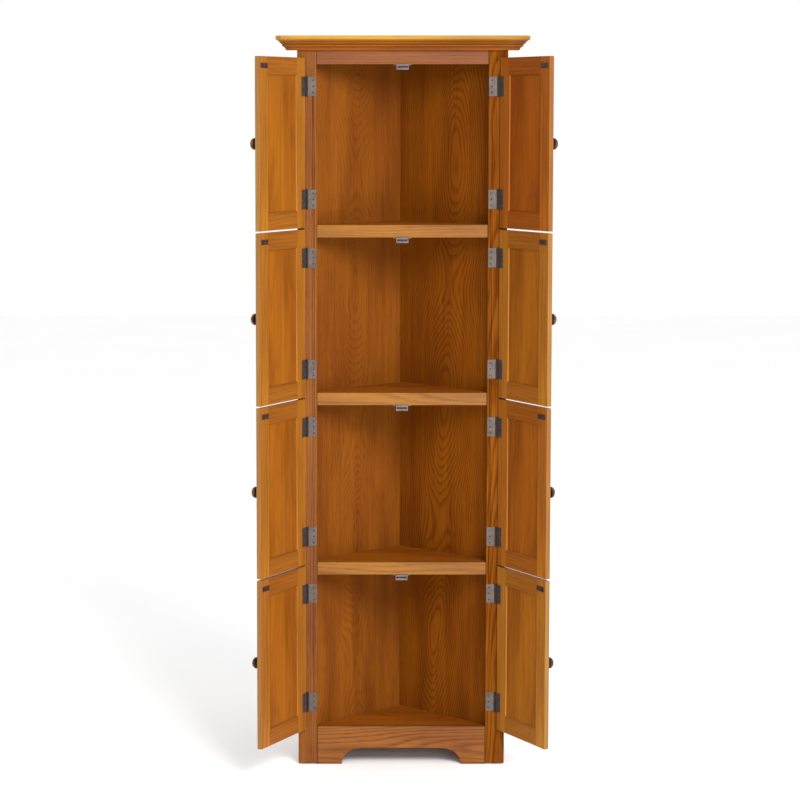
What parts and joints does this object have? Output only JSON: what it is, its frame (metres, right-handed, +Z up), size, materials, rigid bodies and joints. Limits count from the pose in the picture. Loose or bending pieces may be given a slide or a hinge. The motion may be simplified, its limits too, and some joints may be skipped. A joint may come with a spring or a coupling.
{
  "type": "corner pantry cabinet",
  "caption": "Tall corner pantry cabinet in oak with paired framed doors, open shelves, moulded crown, arched toe board, butt hinges, knobs and magnetic catches.",
  "frame": {"origin": "centre of the bounding box at floor level, with the doors open as stored", "axes": "+Z up, +Y towards the room's corner behind the cabinet, -Y towards the person opening the doors, +X to that person's right"},
  "size_m": [0.7374, 0.4892, 1.826],
  "materials": {
    "frame_oak": "satin lacquer, honey oak",
    "door_oak": "satin lacquer, honey oak",
    "door_panel_oak": "satin lacquer, honey oak veneer",
    "inside_oak": "satin lacquer, darker oak veneer",
    "nickel_plate": "dull nickel plate",
    "dark_bronze": "dark antique bronze",
    "bronzed_steel": "brown bronzed steel",
    "aluminium_case": "satin grey aluminium"
  },
  "bodies": {
    "cabinet": {"left_stile": "frame_oak", "right_stile": "frame_oak", "top_rail": "frame_oak", "upper_shelf_rail": "frame_oak", "middle_shelf_rail": "frame_oak", "lower_shelf_rail": "frame_oak", "toe_board": "frame_oak", "left_back_panel": "inside_oak", "right_back_panel": "inside_oak", "upper_shelf": "inside_oak", "middle_shelf": "inside_oak", "lower_shelf": "inside_oak", "bottom_shelf": "inside_oak", "top_board": "inside_oak", "crown_moulding": "door_oak", "magnetic_catches": "aluminium_case", "frame_hinge_leaves": "nickel_plate", "hinge_pins": "nickel_plate", "frame_screws": "nickel_plate", "glides": "nickel_plate"},
    "left_door_1": {"left_door_1_frame": "door_oak", "left_door_1_panel": "door_panel_oak", "left_door_1_knob": "dark_bronze", "left_door_1_hinge_leaves": "nickel_plate", "left_door_1_strike": "bronzed_steel"},
    "left_door_2": {"left_door_2_frame": "door_oak", "left_door_2_panel": "door_panel_oak", "left_door_2_knob": "dark_bronze", "left_door_2_hinge_leaves": "nickel_plate", "left_door_2_strike": "bronzed_steel"},
    "left_door_3": {"left_door_3_frame": "door_oak", "left_door_3_panel": "door_panel_oak", "left_door_3_knob": "dark_bronze", "left_door_3_hinge_leaves": "nickel_plate", "left_door_3_strike": "bronzed_steel"},
    "left_door_4": {"left_door_4_frame": "door_oak", "left_door_4_panel": "door_panel_oak", "left_door_4_knob": "dark_bronze", "left_door_4_hinge_leaves": "nickel_plate", "left_door_4_strike": "bronzed_steel"},
    "right_door_1": {"right_door_1_frame": "door_oak", "right_door_1_panel": "door_panel_oak", "right_door_1_knob": "dark_bronze", "right_door_1_hinge_leaves": "nickel_plate", "right_door_1_strike": "bronzed_steel"},
    "right_door_2": {"right_door_2_frame": "door_oak", "right_door_2_panel": "door_panel_oak", "right_door_2_knob": "dark_bronze", "right_door_2_hinge_leaves": "nickel_plate", "right_door_2_strike": "bronzed_steel"},
    "right_door_3": {"right_door_3_frame": "door_oak", "right_door_3_panel": "door_panel_oak", "right_door_3_knob": "dark_bronze", "right_door_3_hinge_leaves": "nickel_plate", "right_door_3_strike": "bronzed_steel"},
    "right_door_4": {"right_door_4_frame": "door_oak", "right_door_4_panel": "door_panel_oak", "right_door_4_knob": "dark_bronze", "right_door_4_hinge_leaves": "nickel_plate", "right_door_4_strike": "bronzed_steel"}
  },
  "joints": [
    {"name": "left_door_1_hinge", "type": "hinge", "parent": "cabinet", "child": "left_door_1", "pos_m": [-0.2355, -0.03774, 1.5645], "axis": [0, 0, 1], "range_deg": [0, 117.1]},
    {"name": "left_door_2_hinge", "type": "hinge", "parent": "cabinet", "child": "left_door_2", "pos_m": [-0.2355, -0.03774, 1.1429], "axis": [0, 0, 1], "range_deg": [0, 117.1]},
    {"name": "left_door_3_hinge", "type": "hinge", "parent": "cabinet", "child": "left_door_3", "pos_m": [-0.2355, -0.03774, 0.7213], "axis": [0, 0, 1], "range_deg": [0, 117.1]},
    {"name": "left_door_4_hinge", "type": "hinge", "parent": "cabinet", "child": "left_door_4", "pos_m": [-0.2355, -0.03774, 0.2997], "axis": [0, 0, 1], "range_deg": [0, 117.1]},
    {"name": "right_door_1_hinge", "type": "hinge", "parent": "cabinet", "child": "right_door_1", "pos_m": [0.2355, -0.03774, 1.5645], "axis": [0, 0, -1], "range_deg": [0, 117.1]},
    {"name": "right_door_2_hinge", "type": "hinge", "parent": "cabinet", "child": "right_door_2", "pos_m": [0.2355, -0.03774, 1.1429], "axis": [0, 0, -1], "range_deg": [0, 117.1]},
    {"name": "right_door_3_hinge", "type": "hinge", "parent": "cabinet", "child": "right_door_3", "pos_m": [0.2355, -0.03774, 0.7213], "axis": [0, 0, -1], "range_deg": [0, 117.1]},
    {"name": "right_door_4_hinge", "type": "hinge", "parent": "cabinet", "child": "right_door_4", "pos_m": [0.2355, -0.03774, 0.2997], "axis": [0, 0, -1], "range_deg": [0, 117.1]}
  ]
}
